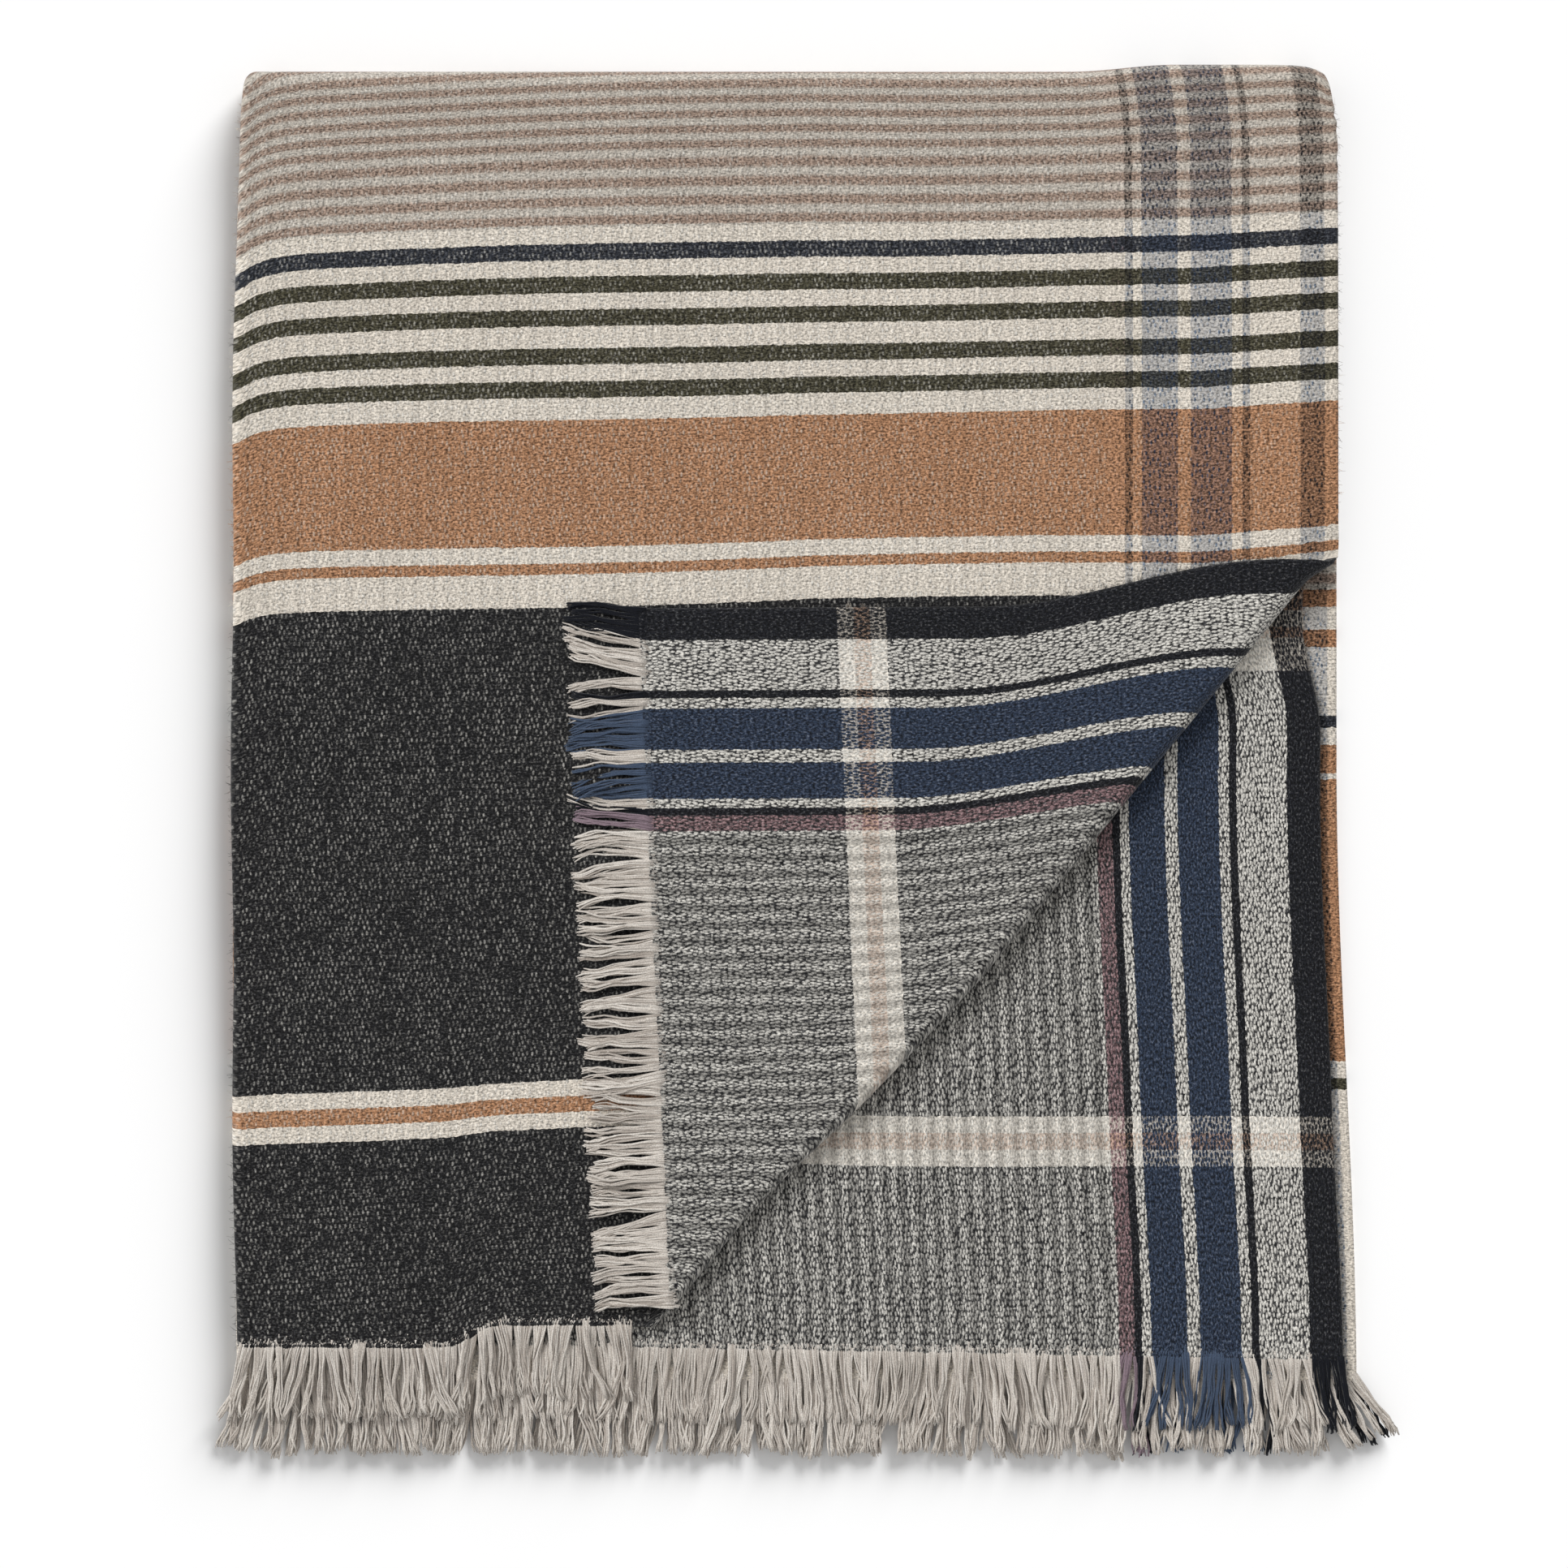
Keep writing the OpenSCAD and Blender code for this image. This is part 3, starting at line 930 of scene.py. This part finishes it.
def fringe(name, along, root_point, out, cloth_u, droop, flare, gathered, unruly):
    """A row of bundles of loose warp ends, each of two locks of yarns with blunt ends.

    along is the row's length and out the direction it lies in. root_point, cloth_u and flare give a point, a
    distance from the selvage and a lean sideways for places along it. droop is how far the ends sink,
    gathered how closely a lock's yarns come together and unruly how much the bundles differ.
    """
    bundles = int(along / BUNDLE_PITCH)
    locks = bundles * LOCKS
    total = locks * YARNS
    t = np.linspace(0, 1, YARN_POINTS)[None]

    def varied(count, spread):
        """A normal random number for each bundle, lock or yarn, given for each yarn."""
        return np.repeat(RNG.normal(0, spread, count), total // count)[:, None]

    index = np.arange(total)
    place = (index + 0.5 + RNG.uniform(-0.4, 0.4, total)) * along / total
    lock_middle = (index // YARNS + 0.5) * along / locks
    bundle_middle = (index // (YARNS * LOCKS) + 0.5) * along / bundles
    start = root_point(place)
    side = np.array([-out[1], out[0]])
    reach = FRINGE_L * (0.98 + varied(bundles, 0.03) + varied(locks, 0.03) + varied(total, 0.015))
    sway = 0.1 * np.sin(bundle_middle * 47 + RNG.uniform(0, 6)) + 0.08 * np.sin(bundle_middle * 131)
    lean = (flare(bundle_middle) + sway * unruly)[:, None] + varied(total, 0.025)
    lean = np.arctan(lean + (varied(bundles, 0.12) + varied(locks, 0.08)) * unruly)
    bend = varied(bundles, 4 * MM) + varied(locks, 3 * MM) + varied(total, 0.7 * MM)
    phase = varied(locks, 3) + varied(total, 0.5)
    gather = (lock_middle - place)[:, None] * gathered + (bundle_middle - place)[:, None] * gathered * 0.4
    across = (gather * smooth(t * 2) + np.sin(lean) * reach * t + bend * (t ** 2 - 0.6 * t)
              + 1.5 * MM * t * np.sin(phase + t * 6) + 0.8 * MM * t * np.sin(3 * phase + t * 14))
    sunk = 3 * MM + np.abs(varied(total, 1.8 * MM))
    forth = np.cos(lean) * reach * t - sunk * (1 - t) ** 2
    deep = np.where(index % 2 == 0, 0.55, -0.55)[:, None] * MM
    lift = 0.8 * MM + varied(bundles, 0.8 * MM) + varied(locks, 0.9 * MM)
    height = (start[:, 2:] + 1.9 * MM * (1 - t) ** 3 + deep * smooth(t * 2) - droop * smooth(t * 1.3)
              + lift * np.sin(t * 2.6) + 0.4 * MM * t * np.cos(phase + t * 11))
    plan = start[:, None, :2] + out * forth[..., None] + side * across[..., None]
    thick = YARN_R + np.abs(varied(total, 0.12 * MM))
    radii = thick * (1 + 0.15 * np.sin(phase * 3 + t * 13)) * np.where(t > 0.97, 0.6, 1)
    paths = raised(plan, np.maximum(height, radii + 0.1 * MM))
    uv = np.stack([np.repeat(cloth_u(place)[:, None], YARN_POINTS, axis=1), 0.05 * t + 0 * height], axis=-1)
    return tubes(name, settle(paths), radii, uv, [YARN], 0 * index, YARN_SIDES)


LEFT_X = X_FOLD - 2 * MM
DOWN = np.array([0.0, -1.0])


def layer_fringe(name, stop_x, end_y, z, droop, edge_x, left, right, unruly):
    """The fringe of a layer that lies square in the fold, from the side fold to stop_x.

    left and right say how far the bundles at its two ends lean outwards.
    """
    def root_point(place):
        x = LEFT_X + place
        return np.stack([x, end_y(x), z + 0 * x], axis=-1)

    def cloth_u(place):
        return edge_x - (LEFT_X + place)

    def flare(place):
        x = LEFT_X + place
        return right * fade(stop_x - x, 20 * MM) - left * fade(x - LEFT_X, 28 * MM)

    return fringe(name, stop_x - LEFT_X, root_point, DOWN, cloth_u, droop, flare, 0.3, unruly)


def corner_fringe(name):
    length = float(np.interp(0, (ROOT_B - crease_middle(ROOT_A) + CREASE_R)[::-1], SCAN_L[::-1]))

    def root_point(place):
        plan = corner_plan(place, 0 * place)
        beyond = np.maximum(to_crease(plan)[1] - crease_middle(to_crease(plan)[0]), 0)
        return raised(plan, corner_height(beyond))

    def flare(place):
        return -0.35 * fade(place, 40 * MM)

    out = np.array([ALONG_ROOT[1], -ALONG_ROOT[0]])
    return fringe(name, length, root_point, out, lambda place: place, 2.4 * MM, flare, 0.3, 0.5)


# -------- nap

NAP_POINTS = 4
NAP_SIDES = 3
NAP_R = 0.11 * MM
# Hairs stand only on faces that are steeper than this, given as the upward part of the face's normal.
STEEP = 0.5


def nap(name, pieces, count):
    """Fine hairs that stand off the edges and folds of the brushed cloth."""
    def column(key, width, kind=np.float32):
        parts = []
        for piece in pieces:
            values = np.zeros(len(piece.data.polygons) * width, kind)
            piece.data.polygons.foreach_get(key, values)
            parts.append(values.reshape(-1, width))
        return np.concatenate(parts)

    middle = column("center", 3)
    normal = column("normal", 3)
    area = column("area", 1)[:, 0]
    which = column("material_index", 1, np.int32)[:, 0]
    place = np.array([piece.data.uv_layers[0].data[face.loop_start].uv for piece in pieces
                      for face in piece.data.polygons])
    chance = area * (np.abs(normal[:, 2]) < STEEP)
    pick = RNG.choice(len(area), count, p=chance / chance.sum())
    root = middle[pick] + RNG.uniform(-0.5, 0.5, (count, 3)) * np.sqrt(area[pick])[:, None] * (1, 1, 0.2)
    way = normal[pick] + RNG.normal(0, 0.55, (count, 3))
    way /= np.linalg.norm(way, axis=1, keepdims=True)
    way[:, 2] *= 0.15
    curl = RNG.normal(0, 1, (count, 3)) * np.array([0.6, 0.6, 0.1]) * MM
    length = RNG.uniform(1.2, 3.6, count)[:, None, None] * MM
    t = np.linspace(0, 1, NAP_POINTS)[None, :, None]
    paths = (root - 0.4 * MM * normal[pick])[:, None] + way[:, None] * length * t + curl[:, None] * t ** 2
    radii = NAP_R * (1 - 0.5 * t[..., 0]) + 0 * paths[..., 0]
    uv = np.repeat(place[pick][:, None], NAP_POINTS, axis=1)
    return tubes(name, paths, radii, uv, [FACE_B, FACE_A], which[pick], NAP_SIDES)


# -------- build

bottom_cloth = flat_panel("bottom_cloth", LOWER_ROWS, True, True)
lower_inner_cloth = flat_panel("lower_inner_cloth", LOWER_ROWS, False, True)
lower_side_cloth = side_fold("lower_side_fold_cloth", LOWER_ROWS, True)
upper_inner_cloth = flat_panel("upper_inner_cloth", UPPER_ROWS, False, False)
upper_side_cloth = side_fold("upper_side_fold_cloth", UPPER_ROWS, False)
top_cloth, SEAM_A, SEAM_HALF = top_panel("top_cloth", UPPER_ROWS)
top_fold_cloth = top_fold("top_fold_cloth")
crease_cloth, FLAP_A = crease("crease_cloth", SEAM_A, SEAM_HALF)
corner_cloth = corner("corner_cloth", FLAP_A)

LOWER_X = float(selvage(np.array(LOWER_END), True))
INNER_X = float(inner_selvage(np.array(UPPER_END)))
TOP_X = float(selvage(np.array(UPPER_END), False))
CREASE_FOOT_X = float(from_crease(SEAM_A.min(), crease_middle(SEAM_A.min()) + CREASE_MARGIN)[0]) + 12 * MM

bottom_yarns = layer_fringe("bottom_fringe_yarns", LOWER_X, lambda x: LOWER_END + 0 * x, MID_Z - ROLL_R,
                            -1 * MM, LOWER_X, 0.4, 0.8, 0.6)
lower_inner_yarns = layer_fringe("lower_inner_fringe_yarns", LOWER_X, lambda x: LOWER_END + 0 * x,
                                 MID_Z - TURN_R, 0.5 * MM, LOWER_X + STRIPES_W * MM, 0.4, 1.3, 0.6)
upper_inner_yarns = layer_fringe("upper_inner_fringe_yarns", INNER_X,
                                 lambda x: UPPER_END + inner_end_shift(x, 1), MID_Z + TURN_R,
                                 3.5 * MM, INNER_X, 0.3, 0.3, 0.9)
top_yarns = layer_fringe("top_fringe_yarns", CREASE_FOOT_X, lambda x: UPPER_END + top_end_shift(x, 1),
                         MID_Z + ROLL_R, 5.5 * MM, TOP_X, 0.35, 0.1, 1.0)
corner_yarns = corner_fringe("corner_fringe_yarns")

upper_nap = nap("upper_nap", [top_cloth, upper_inner_cloth, upper_side_cloth], 8000)
corner_nap = nap("corner_nap", [corner_cloth], 4000)


# -------- what moves with what

for piece in (bottom_cloth, lower_inner_cloth, lower_side_cloth, bottom_yarns, lower_inner_yarns):
    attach(piece, "lower_half")
for piece in (upper_inner_cloth, upper_side_cloth, top_cloth, upper_inner_yarns, top_yarns, upper_nap):
    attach(piece, "upper_half")
for piece in (corner_cloth, corner_yarns, corner_nap):
    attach(piece, "corner")
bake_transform(top_fold_cloth)
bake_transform(crease_cloth)

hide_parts("bottom_panel")
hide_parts("lower_inner_panel")
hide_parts("lower_side_fold")
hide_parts("upper_inner_panel")
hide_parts("upper_side_fold")
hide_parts("top_panel")
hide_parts("top_fold_outer_lower", "top_fold_inner_lower", "top_fold_outer_upper",
            "top_fold_inner_upper")
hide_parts("crease_under", "crease_over")
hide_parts("corner_flap")
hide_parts("bottom_fringe")
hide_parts("lower_inner_fringe")
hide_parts("upper_inner_fringe")
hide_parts("top_fringe")
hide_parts("corner_fringe")

CORNER_LEG = float(np.linalg.norm(corner_plan(np.array(0.0), np.array(TURNED_SIDE)) - TIP))


# -------- studio

FLOOR_W = 14
FLOOR_Z = -0.4 * MM


def plain_floor():
    graph = Graph("studio_floor")
    shader = graph.node("ShaderNodeBsdfPrincipled", {"Base Color": (0.93, 0.93, 0.93, 1), "Roughness": 0.9,
                                                     "Specular IOR Level": 0.0})
    graph.node("ShaderNodeOutputMaterial", {"Surface": shader.outputs["BSDF"]})
    bpy.ops.mesh.primitive_plane_add(size=FLOOR_W, location=(0, 0, FLOOR_Z))
    floor = bpy.context.object
    floor.name = "floor"
    floor.data.materials.append(graph.material)
    return floor


def sun(name, strength, location, spread):
    """A sun that shines from the location towards the origin, over an angle of some degrees."""
    data = bpy.data.lights.new(name, "SUN")
    data.energy = strength
    data.angle = math.radians(spread)
    lamp = bpy.data.objects.new(name, data)
    lamp.location = location
    lamp.rotation_euler = (-Vector(location)).to_track_quat("-Z", "Y").to_euler()
    bpy.context.scene.collection.objects.link(lamp)
    return lamp


def only_on(lamp, pieces):
    """Keeps a lamp's light off everything but these pieces."""
    group = bpy.data.collections.new(lamp.name + "_receives")
    for piece in pieces:
        group.objects.link(piece)
    lamp.light_linking.receiver_collection = group


floor = plain_floor()
scene = bpy.context.scene
scene.view_settings.view_transform = "Standard"
world = bpy.data.worlds.new("studio")
world.use_nodes = True
world.node_tree.nodes["Background"].inputs["Color"].default_value = (1, 1, 1, 1)
world.node_tree.nodes["Background"].inputs["Strength"].default_value = 0.5
scene.world = world

key = sun("key", 4.6, (1.0, 1.8, 0.9), 34)
fill = sun("fill", 1.9, (-1.0, 0.9, 1.1), 30)
CLOTH_PIECES = [o for o in scene.objects if o.type == "MESH" and o is not floor]
only_on(key, [floor])
only_on(fill, CLOTH_PIECES)

# The whole frame is 0.902 m wide where the top layer lies.
CAMERA_Z = 3.0
TOP_LAYER_Z = 20 * MM
VIEW_W = 0.9022
VIEW_MIDDLE = (-5.8 * MM, -11 * MM)
camera = bpy.data.cameras.new("camera")
camera.sensor_width = 36
camera.lens = camera.sensor_width * (CAMERA_Z - TOP_LAYER_Z) / VIEW_W
viewer = bpy.data.objects.new("camera", camera)
viewer.location = (*VIEW_MIDDLE, CAMERA_Z)
scene.collection.objects.link(viewer)
scene.camera = viewer
